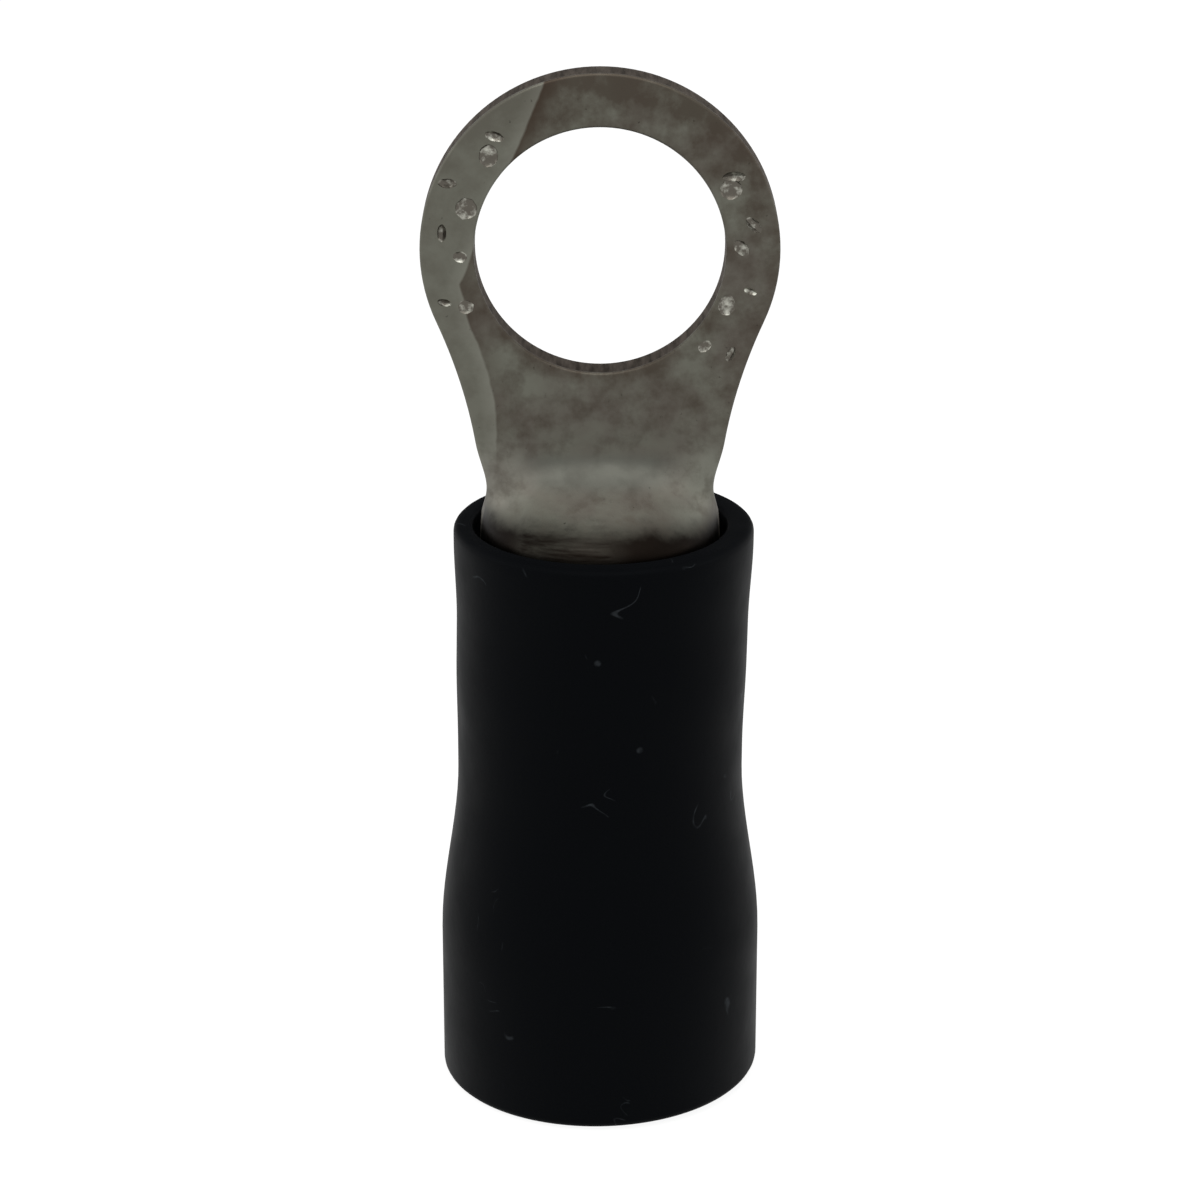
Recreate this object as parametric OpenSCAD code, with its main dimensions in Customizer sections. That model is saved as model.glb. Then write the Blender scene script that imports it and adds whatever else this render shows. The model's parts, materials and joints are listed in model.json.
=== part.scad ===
// Insulated crimp ring terminal: one stamped and rolled sheet terminal in a moulded sleeve.
// It stands on its cable end: Z runs up the barrel's axis and the ring faces along Y. The tongue
// grows out of the front of the barrel, towards -Y, and the brazed seam faces +Y.
// The origin is the centre of the sleeve's cable end.
// All lengths are in millimetres.

/* [Ring] */
// Diameter of the stud hole
stud_hole_d = 5.3; // [4.3:0.1:6.5]
// Width of the metal round the stud hole
ring_rim = 1.15; // [0.9:0.05:2]
// Thickness of the sheet that the terminal is stamped from
sheet_t = 0.8; // [0.6:0.05:1]

/* [Tongue] */
// Length of tongue between the sleeve's mouth and the ring
tongue_len = 2.3; // [2:0.1:5]
// Width of the tongue where it is narrowest
neck_w = 5; // [4:0.1:5.6]
// Radius of the hollow curve on each side of the tongue
neck_curve_r = 11.5; // [6:0.5:16]

/* [Barrel] */
// Outer diameter of the rolled barrel
barrel_d = 5.2; // [4.6:0.1:5.6]
// Length of the barrel, from its rim to its wire end
barrel_len = 6; // [5:0.1:7]
// Depth of the barrel's rim below the sleeve's mouth
rim_recess = 0.15; // [0:0.05:0.3]
// Stretch below the rim over which the front of the barrel starts to leave the round
throat_len = 0.15; // [0.1:0.05:0.5]
// Rise above the rim over which the sheet opens out to a flat tongue
scoop_len = 1.7; // [1.5:0.05:2]
// Radius of the notch where the tongue's edge meets the barrel's rim
notch_r = 0.9; // [0.6:0.05:1.1]
// Size of the chamfer that leads the wire into the barrel
wire_lead = 0.3; // [0.1:0.05:0.4]

/* [Barrel grip] */
// Number of grip grooves inside the barrel
groove_count = 3; // [1:1:4]
// Spacing of the grip grooves
groove_pitch = 0.95; // [0.8:0.05:1.1]
// Width of a grip groove at the bore
groove_w = 0.4; // [0.2:0.05:0.6]
// Depth of a grip groove
groove_depth = 0.12; // [0.05:0.01:0.2]
// Width of the seam line down the back of the barrel
seam_w = 0.14; // [0.08:0.02:0.3]
// Depth of the seam line
seam_depth = 0.08; // [0.04:0.02:0.2]

/* [Sleeve] */
// Length of the insulating sleeve
sleeve_len = 13; // [11:0.5:16]
// Wall of the sleeve over the barrel
sleeve_wall = 0.57; // [0.4:0.01:0.8]
// Depth by which the sleeve is drawn in at its waist, below the barrel
waist_draw = 0.04; // [0:0.01:0.1]
// Radial clearance between the sleeve and the barrel
barrel_fit = 0.02; // [0:0.01:0.05]
// Outward swell of the lip round the mouth
lip_swell = 0.07; // [0:0.01:0.15]
// Radial gap that the mouth opens round the barrel's rim
mouth_gap = 0.14; // [0.1:0.01:0.2]
// Height of the opened mouth
mouth_h = 1.1; // [0.8:0.1:1.5]

/* [Cable end] */
// Bore of the sleeve for the cable's insulation
cable_bore_d = 5.7; // [5.5:0.1:6.5]
// Wall of the sleeve at the cable end
cable_wall = 0.71; // [0.5:0.01:0.9]
// Length of the straight cable bore
cable_bore_len = 3.4; // [2.5:0.1:4.5]
// Radius of the rounded edges of the sleeve
edge_r = 0.18; // [0.1:0.01:0.2]

/* [Hidden] */

TIN = "#5c5852";
VINYL = "#26262a";
CURVE_FN = 96;
// How far a cutter runs past the face that it cuts
OVERRUN = 1;

// Terminal
stud_r = stud_hole_d / 2;
ring_r = stud_r + ring_rim;
barrel_r = barrel_d / 2;
bore_r = barrel_r - sheet_t;
mid_r = barrel_r - sheet_t / 2;
rim_z = sleeve_len - rim_recess;
wire_end_z = rim_z - barrel_len;
round_z = rim_z - throat_len;
flat_z = rim_z + scoop_len;
ring_z = sleeve_len + tongue_len + ring_r;

// The tongue's side is an arc that leaves the neck upright and runs into the ring.
arc_x = neck_w / 2 + neck_curve_r;
arc_rise = sqrt(pow(ring_r + neck_curve_r, 2) - pow(arc_x, 2));
arc_z = ring_z - arc_rise;
arc_end_z = arc_z + neck_curve_r * arc_rise / (ring_r + neck_curve_r);
NECK_STEPS = 16;

// Rows and columns of the lofted sheet
THROAT_ROWS = 2;
SCOOP_ROWS = 16;
TROUGH_COLS = 30;
WING_COLS = 22;
RING_COLS = TROUGH_COLS + WING_COLS;
FLAT_ROLL = 35;
SIDE = 90;
WING_BLEND = 45;
// Share of the scoop over which its sides roll flat
ROLL_SHARE = 0.8;
// Steps over which the sheet's slope is taken
Z_STEP = 0.01;
A_STEP = 0.5;
// Share of the wire lead by which the outer corner of the wire end is broken
END_BREAK_SHARE = 1 / 3;
// The lofted wall's flat facets start this far inside each face of the round barrel.
joint_inset = 0.02;
// How deep the lofted wall is rooted in the barrel's wall and in the tongue
joint_lap = 0.05;
side_angle = SIDE + notch_r / mid_r * 180 / PI;

// Sleeve
seat_r = barrel_r + barrel_fit;
body_r = seat_r + sleeve_wall;
lip_r = body_r + lip_swell;
waist_r = body_r - waist_draw;
mouth_r = seat_r + mouth_gap;
cable_r = cable_bore_d / 2;
cable_end_r = cable_r + cable_wall;
// The waist stands a little above the barrel's wire end, and the sleeve swells above it.
waist_rise = 0.5;
waist_land = 0.5;
waist_swell_h = 2;
waist_z = wire_end_z + waist_rise;
body_z = waist_z + waist_land + waist_swell_h;
// The lip swells up to a straight band under its rounded edge.
lip_start_z = sleeve_len - 2 * mouth_h;
lip_z = sleeve_len - 2 * edge_r;
mouth_edge_r = edge_r / 2;
// The seat begins this far below the barrel, so that the cable's insulation stops there.
seat_lead = 0.2;
SLEEVE_STEPS = 10;
CORNER_STEPS = 6;

function soft(t) = let (v = min(1, max(0, t))) pow(v, 3) * (10 - 15 * v + 6 * v * v);
function eased_step(t) = let (v = min(1, max(0, t))) v * v * (3 - 2 * v);
function mix(a, b, t) = a + (b - a) * t;
function unit(v) = v / norm(v);

// Half the tongue's width at height z
function edge_x(z) = arc_x - sqrt(pow(neck_curve_r, 2) - pow(max(0, z - arc_z), 2));

// How far the sheet has opened at height z: 0 is the round barrel and 1 the flat tongue
function opened(z) = soft((z - round_z) / (flat_z - round_z));

// Depth of the trough in front of the barrel's axis
function trough(z) = mid_r * (1 - opened(z));

// Depth of the wings behind the axis: round up to the rim, then easing to the trough's
function wing_depth(z) = mix(mid_r, trough(z), eased_step((z - rim_z) / scoop_len));

// Angle through which each side of the section rolls
function roll(z) = mix(SIDE, FLAT_ROLL, eased_step((z - rim_z) / (ROLL_SHARE * scoop_len)));

// Depth of the section at angle a: the trough in front eases into the wings at the sides
function depth(a, z) =
    mix(trough(z), wing_depth(z), eased_step((abs(a) - SIDE + WING_BLEND) / (2 * WING_BLEND)));

// Tilt of the sheet's edge, from 90 where it stands in the barrel's wall to 0 where it is flat
function edge_tilt(z) =
    atan2(depth(SIDE, z) * (1 + cos(roll(z))), mix(mid_r, edge_x(z), opened(z)) * cos(roll(z)));

// Half the distance between the edges of the section's middle line
function half_span(z) =
    mix(barrel_r, edge_x(z), opened(z)) - sheet_t / 2 * sin(edge_tilt(z)) - root_inset(z);

// The root inside the tongue is this much smaller than the tongue all round.
function root_inset(z) = z > flat_z ? joint_inset : 0;

// Point on the sheet's middle surface, at angle a round from the front
function mid_point(a, z) =
    let (r = roll(z), turn = r * a / SIDE)
    [-half_span(z) * sin(turn) / sin(r),
     -depth(a, z) * (cos(turn) - cos(r)) / (1 - cos(r)),
     z];

// Outward normal of the sheet. It is level at the ends, where the loft meets barrel and tongue.
function normal(a, z) =
    let (n = cross(mid_point(a, z + Z_STEP) - mid_point(a, z - Z_STEP),
                   mid_point(a + A_STEP, z) - mid_point(a - A_STEP, z)),
         end = z == round_z || z == flat_z)
    unit([n.x, n.y, end ? 0 : n.z]);

// Angle of the sheet's edge at height z, with the notch rounded into the rim
function edge_angle(z) =
    let (d = max(0, notch_r - (z - rim_z)))
    SIDE + (notch_r - sqrt(notch_r * notch_r - d * d)) / mid_r * 180 / PI;

function row_points(z, angles, side) =
    let (reach = sheet_t / 2 - joint_inset * (1 - opened(z)) - root_inset(z))
    [for (a = angles) mid_point(a, z) + side * reach * normal(a, z)];

// Four corners as two triangles, split along the other diagonal where other is true
function quad(a, b, c, d, other = false) =
    other ? [[b, c, d], [b, d, a]] : [[a, b, c], [a, c, d]];

// Profile corner: an arc about [x, y] from angle a to angle b
function corner(x, y, r, a, b) =
    [for (k = [0:CORNER_STEPS]) let (t = mix(a, b, k / CORNER_STEPS))
        [x + r * cos(t), y + r * sin(t)]];

// Wall profile eased from [r0, z0] to [r1, z1]
function eased(r0, z0, r1, z1) =
    [for (k = [0:SLEEVE_STEPS]) let (t = k / SLEEVE_STEPS)
        [mix(r0, r1, eased_step(t)), mix(z0, z1, t)]];

// Flat ring and tongue
module ring_and_tongue() {
    neck = [for (k = [0:NECK_STEPS - 1])
        let (z = mix(flat_z, arc_end_z, k / NECK_STEPS)) [edge_x(z), z]];
    inside = [(stud_r + ring_r) / 2, ring_z];
    right = concat(neck, [inside]);
    left = [for (k = [len(right) - 1:-1:0]) [-right[k].x, right[k].y]];
    difference() {
        union() {
            rotate([90, 0, 0])
                linear_extrude(sheet_t, center = true)
                    polygon(concat(right, left));
            translate([0, 0, ring_z])
                rotate([90, 0, 0])
                    cylinder(h = sheet_t, r = ring_r, center = true, $fn = CURVE_FN);
        }
        translate([0, 0, ring_z])
            rotate([90, 0, 0])
                cylinder(h = sheet_t + 2 * OVERRUN, r = stud_r, center = true, $fn = CURVE_FN);
    }
}

// Sheet of even thickness that opens from the closed barrel to the flat tongue
module throat_and_scoop() {
    trough = [for (j = [0:TROUGH_COLS]) mix(-side_angle, side_angle, j / TROUGH_COLS)];
    wings = [for (j = [1:WING_COLS - 1]) mix(side_angle, 360 - side_angle, j / WING_COLS)];
    closed = [for (a = concat(trough, wings)) a > 180 ? a - 360 : a];
    throat_z = concat(
        [round_z - joint_lap],
        [for (i = [0:THROAT_ROWS]) mix(round_z, rim_z, i / THROAT_ROWS)]);
    scoop_z = concat(
        [for (i = [1:SCOOP_ROWS - 1]) mix(rim_z, flat_z, i / SCOOP_ROWS)],
        [flat_z, flat_z + joint_lap]);
    rim = len(throat_z) - 1;
    top = len(scoop_z);

    function closed_rows(side) = [for (z = throat_z) each row_points(z, closed, side)];
    function open_rows(side) =
        [for (z = scoop_z)
            each row_points(z, [for (j = [0:TROUGH_COLS]) edge_angle(z) * (2 * j / TROUGH_COLS - 1)], side)];

    open_start = 2 * (rim + 1) * RING_COLS;
    open_size = top * (TROUGH_COLS + 1);
    function outer(i, c) = i * RING_COLS + c % RING_COLS;
    function inner(i, c) = (rim + 1 + i) * RING_COLS + c % RING_COLS;
    function open_outer(i, j) =
        i == 0 ? outer(rim, j) : open_start + (i - 1) * (TROUGH_COLS + 1) + j;
    function open_inner(i, j) =
        i == 0 ? inner(rim, j) : open_start + open_size + (i - 1) * (TROUGH_COLS + 1) + j;

    faces = [
        for (c = [0:RING_COLS - 1]) each quad(outer(0, c), inner(0, c), inner(0, c + 1), outer(0, c + 1)),
        for (i = [0:rim - 1], c = [0:RING_COLS - 1]) each concat(
            quad(outer(i, c), outer(i, c + 1), outer(i + 1, c + 1), outer(i + 1, c)),
            quad(inner(i, c), inner(i + 1, c), inner(i + 1, c + 1), inner(i, c + 1))),
        for (c = [TROUGH_COLS:RING_COLS - 1]) each quad(
            outer(rim, c), outer(rim, c + 1), inner(rim, c + 1), inner(rim, c)),
        for (i = [0:top - 1], j = [0:TROUGH_COLS - 1]) let (half = j < TROUGH_COLS / 2) each concat(
            quad(open_outer(i, j), open_outer(i, j + 1),
                 open_outer(i + 1, j + 1), open_outer(i + 1, j), half),
            quad(open_inner(i, j), open_inner(i + 1, j),
                 open_inner(i + 1, j + 1), open_inner(i, j + 1), half)),
        for (i = [0:top - 1]) each concat(
            quad(open_outer(i, 0), open_outer(i + 1, 0), open_inner(i + 1, 0), open_inner(i, 0)),
            quad(open_outer(i + 1, TROUGH_COLS), open_outer(i, TROUGH_COLS),
                 open_inner(i, TROUGH_COLS), open_inner(i + 1, TROUGH_COLS))),
        for (j = [0:TROUGH_COLS - 1]) each quad(
            open_outer(top, j), open_outer(top, j + 1), open_inner(top, j + 1), open_inner(top, j))
    ];
    polyhedron(
        points = concat(closed_rows(1), closed_rows(-1), open_rows(1), open_rows(-1)),
        faces = faces);
}

// Round stretch of the barrel, with its wire lead and grip grooves
module barrel_tube() {
    groove_mid = (wire_end_z + wire_lead + round_z) / 2;
    first = groove_mid - (groove_count - 1) / 2 * groove_pitch;
    grooves = [for (k = [0:groove_count - 1]) let (z = first + k * groove_pitch) each [
        [bore_r, z - groove_w / 2],
        [bore_r + groove_depth, z - groove_w / 2 + groove_depth],
        [bore_r + groove_depth, z + groove_w / 2 - groove_depth],
        [bore_r, z + groove_w / 2]]];
    end_break = wire_lead * END_BREAK_SHARE;
    rotate_extrude($fn = CURVE_FN)
        polygon(concat(
            [[barrel_r, round_z],
             [barrel_r, wire_end_z + end_break],
             [barrel_r - end_break, wire_end_z],
             [bore_r + wire_lead, wire_end_z],
             [bore_r, wire_end_z + wire_lead]],
            grooves,
            [[bore_r, round_z]]));
}

module terminal() {
    color(TIN)
        difference() {
            union() {
                ring_and_tongue();
                throat_and_scoop();
                barrel_tube();
            }
            translate([-seam_w / 2, barrel_r - seam_depth, wire_end_z - OVERRUN])
                cube([seam_w, seam_depth + OVERRUN, barrel_len + 2 * OVERRUN]);
        }
}

module insulating_sleeve() {
    outside = concat(
        corner(cable_end_r - edge_r, edge_r, edge_r, -90, 0),
        eased(cable_end_r, cable_bore_len, waist_r, waist_z),
        eased(waist_r, waist_z + waist_land, body_r, body_z),
        eased(body_r, lip_start_z, lip_r, lip_z),
        corner(lip_r - edge_r, sleeve_len - edge_r, edge_r, 0, 90));
    inside = concat(
        corner(mouth_r + mouth_edge_r, sleeve_len - mouth_edge_r, mouth_edge_r, 90, 180),
        eased(mouth_r, sleeve_len - edge_r, seat_r, sleeve_len - mouth_h),
        eased(seat_r, wire_end_z - seat_lead, cable_r, cable_bore_len),
        corner(cable_r + edge_r, edge_r, edge_r, 180, 270));
    color(VINYL)
        rotate_extrude($fn = CURVE_FN)
            polygon(concat(outside, inside));
}

terminal();
insulating_sleeve();
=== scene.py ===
import json
import math
import random

import bmesh
import bpy
from mathutils import Color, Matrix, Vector


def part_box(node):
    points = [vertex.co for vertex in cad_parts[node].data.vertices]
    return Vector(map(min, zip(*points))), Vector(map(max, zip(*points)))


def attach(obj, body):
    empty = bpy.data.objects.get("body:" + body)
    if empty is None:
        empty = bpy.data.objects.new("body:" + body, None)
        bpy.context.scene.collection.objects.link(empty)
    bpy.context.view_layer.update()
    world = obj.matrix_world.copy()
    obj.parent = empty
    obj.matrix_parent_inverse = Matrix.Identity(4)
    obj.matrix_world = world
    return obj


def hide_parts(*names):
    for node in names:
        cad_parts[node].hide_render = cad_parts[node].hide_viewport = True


bl_info = {
    "name": "Sleeved Ring Terminal",
    "version": (1, 0, 0),
    "blender": (4, 5, 0),
    "location": "3D View > Sidebar > Ring Terminal",
    "description": "Models a crimp ring terminal in its vinyl sleeve, with its finishes and stage",
    "category": "Object",
}

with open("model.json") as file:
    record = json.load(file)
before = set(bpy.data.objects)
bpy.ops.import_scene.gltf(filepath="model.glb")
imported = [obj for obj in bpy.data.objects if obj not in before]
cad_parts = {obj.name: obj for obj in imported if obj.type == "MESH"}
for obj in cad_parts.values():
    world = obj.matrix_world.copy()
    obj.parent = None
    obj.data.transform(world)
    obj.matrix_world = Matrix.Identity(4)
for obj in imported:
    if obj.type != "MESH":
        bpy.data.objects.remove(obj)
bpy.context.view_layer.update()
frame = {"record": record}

MM = 0.001
MOUNTS = {mount["name"]: mount for mount in frame["record"]["mounts"]}
STUD = MOUNTS["stud_hole"]["dims"]
WIRE = MOUNTS["wire_barrel"]["dims"]
CABLE = MOUNTS["cable_entry"]["dims"]
TERMINAL_LOW, TERMINAL_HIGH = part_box("terminal")
SLEEVE_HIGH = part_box("insulating_sleeve")[1]


def length(name, description, default):
    """A size in metres that a user may change."""
    return bpy.props.FloatProperty(
        name=name, description=description, default=default * MM, unit="LENGTH", precision=5
    )


def paint(name, description, default):
    """A colour that a user may change, from its sRGB hex value."""
    return bpy.props.FloatVectorProperty(
        name=name, description=description, default=linear(default), subtype="COLOR",
        size=3, min=0, max=1,
    )


def linear(hex_value):
    """Linear red, green and blue of an sRGB hex value such as 8a7f70."""
    shares = [int(hex_value[i:i + 2], 16) / 255 for i in (0, 2, 4)]
    return [s / 12.92 if s <= 0.04045 else ((s + 0.055) / 1.055) ** 2.4 for s in shares]


# --- Sizes and colours -------------------------------------------------------------------


class TerminalSizes(bpy.types.PropertyGroup):
    """Sizes and colours of the tinned copper terminal: its tarnish, and its painted light and shade
    """

    stud_hole: length("Stud hole", "Diameter of the stud hole", 2 * STUD["r_mm"])
    sheet: length("Sheet", "Thickness of the stamped sheet", STUD["length_mm"])
    wire_bore: length("Wire bore", "Diameter of the barrel's bore", 2 * WIRE["r_mm"])
    neck: length("Neck", "Width of the tongue where it is narrowest", 5)
    neck_curve: length("Neck curve", "Radius of the hollow curve on each side", 11.5)
    rim_recess: length("Rim recess", "Depth of the barrel's rim below the sleeve's mouth", 0.15)
    throat: length("Throat", "Stretch below the rim where the front leaves the round", 0.15)
    scoop: length("Scoop", "Rise over which the sheet opens out flat", 2.1)
    notch: length("Notch", "Radius where the tongue's edge meets the rim", 0.9)
    edge_break: length("Edge break", "Rounding of the stamped edges", 0.07)
    wire_lead: length("Wire lead", "Chamfer that leads the wire in", 0.3)
    groove_pitch: length("Groove pitch", "Spacing of the grip grooves", 0.95)
    groove_width: length("Groove width", "Width of a grip groove", 0.4)
    groove_depth: length("Groove depth", "Depth of a grip groove", 0.12)
    seam_width: length("Seam width", "Width of the seam line down the back of the barrel", 0.14)
    seam_depth: length("Seam depth", "Depth of the seam line", 0.08)
    punch: length("Punch mark", "Diameter of a punch mark on the ring", 0.5)
    punch_depth: length("Punch depth", "Depth of a punch mark", 0.11)
    tin: paint("Tin", "Dull tin plate", "5b5750")
    tin_bright: paint("Worn tin", "Plate rubbed lighter", "66665d")
    # Also painted as highlights along the rubbed strip's edge and either side of the bend's middle.
    struck_and_highlight: paint("Struck tin", "Bright metal in the punch marks", "b0b0a6")
    # Also painted as a shadow beside the rubbed strip's edge.
    stain_and_shadow: paint("Stain", "Brown tarnish", "40372f")
    # Also painted as shade low on the bend by the sleeve's mouth.
    brown_black_and_shade: paint("Scorch", "Brown-black scale by the sleeve's mouth", "14100d")
    # Painted shade laid on the middle of the bend.
    bend_shade: paint("Dulled tin", "Skin on the middle of the bend", "555650")
    sheared: paint("Sheared edge", "Dull brown of the cut edges", "46403b")


class SleeveSizes(bpy.types.PropertyGroup):
    """Sizes and colour of the vinyl sleeve"""

    wall: length("Wall", "Wall of the sleeve over the barrel", 0.57)
    barrel_fit: length("Barrel fit", "Clearance between sleeve and barrel", 0.02)
    waist_draw: length("Waist draw", "Drawing in of the waist below the barrel", 0.04)
    lip_swell: length("Lip swell", "Outward swell of the lip", 0.07)
    mouth_gap: length("Mouth gap", "Gap that the mouth opens round the rim", 0.14)
    mouth_height: length("Mouth height", "Height of the opened mouth", 1.1)
    cable_bore: length("Cable bore", "Diameter of the cable end's bore", 2 * CABLE["r_mm"])
    cable_bore_length: length("Cable bore length", "Length of the straight cable bore", 3.4)
    edge: length("Edge", "Radius of the rounded edges", 0.18)
    waist_rise: length("Waist rise", "Height of the waist above the barrel's wire end", 0.5)
    waist_land: length("Waist land", "Height of the waist's straight band", 0.5)
    waist_swell: length("Waist swell", "Height over which the sleeve swells above its waist", 2)
    seat_lead: length("Seat lead", "Depth of the stop below the barrel", 0.2)
    lean: length("Lean", "Sideways lean of the outside from waist to mouth", 0.08)
    skew: length("Skew", "How far one side of the cable end is cut lower", 0.12)
    vinyl: paint("Vinyl", "Black vinyl", "07080a")
    scuff: paint("Scuff", "Pale scuffs and dust on the vinyl", "2b2e31")


class StageLook(bpy.types.PropertyGroup):
    """Floor, lamps and camera"""

    floor: paint("Floor", "Pale floor", "f2f2f0")
    lens: bpy.props.FloatProperty(
        name="Lens", description="Focal length of the camera", default=107.966, unit="CAMERA"
    )


# --- Modelling helpers -------------------------------------------------------------------


def mix(a, b, t):
    """Value at the share t of the way from a to b."""
    return a + (b - a) * t


def eased(t):
    """Goes from 0 to 1 with level ends."""
    t = min(1, max(0, t))
    return t * t * (3 - 2 * t)


def soft(t):
    """Goes from 0 to 1 with ends that are level and uncurved."""
    t = min(1, max(0, t))
    return t ** 3 * (10 - 15 * t + 6 * t * t)


def deselect():
    """Leaves nothing selected, the frame's own solids included."""
    bpy.ops.object.select_all(action="DESELECT")


def started(name):
    """Names the primitive just added and opens it for editing."""
    obj = bpy.context.object
    obj.name = obj.data.name = name
    bpy.ops.object.mode_set(mode="EDIT")
    bpy.ops.mesh.select_mode(type="VERT")
    return obj


def edit(obj):
    """The mesh of the object that is open for editing, to be given back by show."""
    mesh = bmesh.from_edit_mesh(obj.data)
    mesh.verts.ensure_lookup_table()
    return mesh


def show(obj):
    """Brings the edited mesh back to the object."""
    bmesh.update_edit_mesh(obj.data)


def modify(obj, kind, **settings):
    """Adds a modifier and applies it."""
    modifier = obj.modifiers.new(kind.title(), kind)
    for name, value in settings.items():
        setattr(modifier, name, value)
    bpy.ops.object.modifier_apply(modifier=modifier.name)


def only(*objs):
    """Selects these objects alone, the last one active."""
    deselect()
    for obj in objs:
        obj.select_set(True)
    bpy.context.view_layer.objects.active = objs[-1]


def finished(obj, body, node):
    """Brings a piece that was modelled in millimetres to metres and gives it to the frame."""
    only(obj)
    obj.scale = (MM, MM, MM)
    bpy.ops.object.transform_apply(location=True, rotation=True, scale=True)
    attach(obj, body)
    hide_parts(node)


# --- Terminal ----------------------------------------------------------------------------


class SheetForm:
    """The middle surface of the sheet, from the round barrel to the flat ring, in millimetres.

    A row across the sheet is an arc. SIDE is the angle of its ends on the barrel, and FLAT_ROLL
    the smaller one that they have rolled out to after ROLL_SHARE of the scoop's rise. BLEND is the
    angle to either side of SIDE over which the front gives way to the back, and LEAN draws the
    bend down towards the rim."""

    SIDE = 90
    FLAT_ROLL = 35
    ROLL_SHARE = 0.8
    BLEND = 45
    LEAN = 0.64

    def __init__(self, sizes, sleeve_len, ring_r, ring_z, wire_end_z):
        self.sheet = sizes.sheet / MM
        self.stud_r = sizes.stud_hole / 2 / MM
        self.bore_r = sizes.wire_bore / 2 / MM
        self.mid_r = self.bore_r + self.sheet / 2
        self.barrel_r = self.bore_r + self.sheet
        self.curve_r = sizes.neck_curve / MM
        self.notch = sizes.notch / MM
        self.ring_r, self.ring_z = ring_r, ring_z
        self.wire_end_z = wire_end_z
        self.rim_z = sleeve_len - sizes.rim_recess / MM
        self.round_z = self.rim_z - sizes.throat / MM
        self.scoop = sizes.scoop / MM
        self.flat_z = self.rim_z + self.scoop
        self.arc_x = sizes.neck / 2 / MM + self.curve_r
        rise = math.sqrt((ring_r + self.curve_r) ** 2 - self.arc_x ** 2)
        self.arc_z = ring_z - rise
        self.arc_end_z = self.arc_z + self.curve_r * rise / (ring_r + self.curve_r)
        self.side_angle = self.SIDE + math.degrees(self.notch / self.mid_r)

    def edge_x(self, z):
        """Half the tongue's width."""
        return self.arc_x - math.sqrt(self.curve_r ** 2 - max(0, z - self.arc_z) ** 2)

    def opened(self, z):
        """0 on the round barrel, 1 on the flat tongue. Most of the bend lies low, by the rim."""
        t = min(1, max(0, (z - self.round_z) / (self.flat_z - self.round_z)))
        return soft(t ** self.LEAN)

    def depth(self, angle, z):
        """How far forward of the ends a row's arc reaches. Beside the rim the ends keep the
        barrel's depth for longer than the middle does."""
        trough = self.mid_r * (1 - self.opened(z))
        wing = mix(self.mid_r, trough, eased((z - self.rim_z) / self.scoop))
        return mix(trough, wing, eased((abs(angle) - self.SIDE + self.BLEND) / (2 * self.BLEND)))

    def roll(self, z):
        """Angle of a row's ends, in degrees."""
        rolled = eased((z - self.rim_z) / (self.ROLL_SHARE * self.scoop))
        return mix(self.SIDE, self.FLAT_ROLL, rolled)

    def half_span(self, z):
        """Half the width of a row's arc, such that the sheet's outer corner keeps its width."""
        width = mix(self.barrel_r, self.edge_x(z), self.opened(z))
        roll = math.radians(self.roll(z))
        middle = mix(self.mid_r, self.edge_x(z), self.opened(z))
        tilt = math.atan2(self.depth(self.SIDE, z) * (1 + math.cos(roll)), middle * math.cos(roll))
        return width - self.sheet / 2 * math.sin(tilt)

    def point(self, angle, z):
        """Point on the middle surface, at an angle in degrees round from the front."""
        roll = math.radians(self.roll(z))
        turn = roll * angle / self.SIDE
        return Vector((
            -self.half_span(z) * math.sin(turn) / math.sin(roll),
            -self.depth(angle, z) * (math.cos(turn) - math.cos(roll)) / (1 - math.cos(roll)),
            z,
        ))

    def edge_angle(self, z):
        """Angle of the sheet's cut edge, with the notch rounded into the rim."""
        d = max(0, self.notch - (z - self.rim_z))
        rounded = self.notch - math.sqrt(self.notch ** 2 - d * d)
        return self.SIDE + math.degrees(rounded / self.mid_r)


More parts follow.
